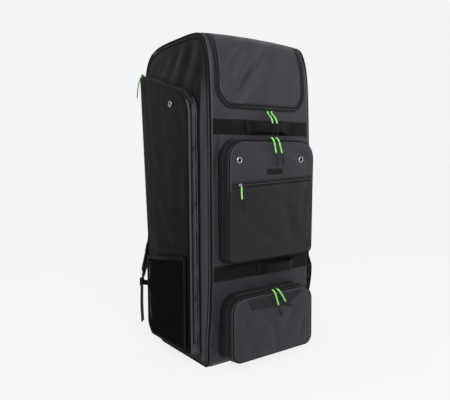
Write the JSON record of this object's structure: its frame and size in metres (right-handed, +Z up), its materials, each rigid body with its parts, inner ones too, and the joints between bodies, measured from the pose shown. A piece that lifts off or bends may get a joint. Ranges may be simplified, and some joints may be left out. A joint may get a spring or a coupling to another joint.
{
  "type": "cricket kit bag",
  "caption": "Upright hollow duffle for cricket kit, with a U-shaped top flap, front and side pockets, net bottle pockets, grab handles and a shoulder harness.",
  "frame": {"origin": "on the floor under the base panel, midway between the side panels, where the bag's own middle plane meets the floor", "axes": "+Z up along the bag, +X to the right seen from the front, the front faces -Y"},
  "size_m": [0.527, 0.4944, 0.9674],
  "materials": {
    "coated_cloth": "charcoal coated polyester, satin",
    "dark_cloth": "near-black coated polyester, dull",
    "padded_cloth": "black padded spacer cloth",
    "zip_tape": "black zip tape",
    "webbing": "black ribbed polypropylene webbing",
    "net": "black net",
    "green_rubber": "neon green rubber sleeve",
    "pull_cord": "dark braided cord",
    "eyelet_metal": "silver plated eyelet",
    "slider_metal": "black coated zip slider",
    "base_plastic": "black moulded plastic"
  },
  "bodies": {
    "root": {"body_shell": "coated_cloth", "top_flap": "coated_cloth", "flap_zip_band": "zip_tape", "base_panel": "base_plastic", "piping_left": "webbing", "piping_right": "webbing", "upper_strap": "webbing", "lower_strap": "webbing", "upper_handle": "webbing", "lower_handle": "webbing", "mid_pocket": "coated_cloth", "mid_zip": "zip_tape", "front_zip_band": "zip_tape", "label_patch": "base_plastic", "bottom_pocket": "coated_cloth", "bottom_zip": "zip_tape", "bottom_patch": "dark_cloth", "side_pocket_left": "dark_cloth", "side_zip_left": "zip_tape", "mesh_pocket_left": "net", "side_pocket_right": "dark_cloth", "side_zip_right": "zip_tape", "mesh_pocket_right": "net", "eyelet_mid_left": "eyelet_metal", "eyelet_mid_right": "eyelet_metal", "eyelet_side_left": "eyelet_metal", "eyelet_side_right": "eyelet_metal", "sliders_flap": "slider_metal", "sliders_mid": "slider_metal", "sliders_bottom": "slider_metal", "slider_front": "slider_metal", "slider_side_left": "slider_metal", "slider_side_right": "slider_metal", "sleeve_flap_a": "green_rubber", "tail_flap_a": "pull_cord", "sleeve_flap_b": "green_rubber", "tail_flap_b": "pull_cord", "sleeve_mid_a": "green_rubber", "tail_mid_a": "pull_cord", "sleeve_mid_b": "green_rubber", "tail_mid_b": "pull_cord", "sleeve_front": "green_rubber", "tail_front": "pull_cord", "sleeve_bottom_a": "green_rubber", "tail_bottom_a": "pull_cord", "sleeve_bottom_b": "green_rubber", "tail_bottom_b": "pull_cord", "sleeve_side_left": "green_rubber", "tail_side_left": "pull_cord", "sleeve_side_right": "green_rubber", "tail_side_right": "pull_cord", "back_pad": "padded_cloth", "shoulder_strap_left": "padded_cloth", "adjuster_left": "base_plastic", "webbing_tail_left": "webbing", "strap_wing_left": "webbing", "shoulder_strap_right": "padded_cloth", "adjuster_right": "base_plastic", "webbing_tail_right": "webbing", "strap_wing_right": "webbing"}
  },
  "joints": []
}
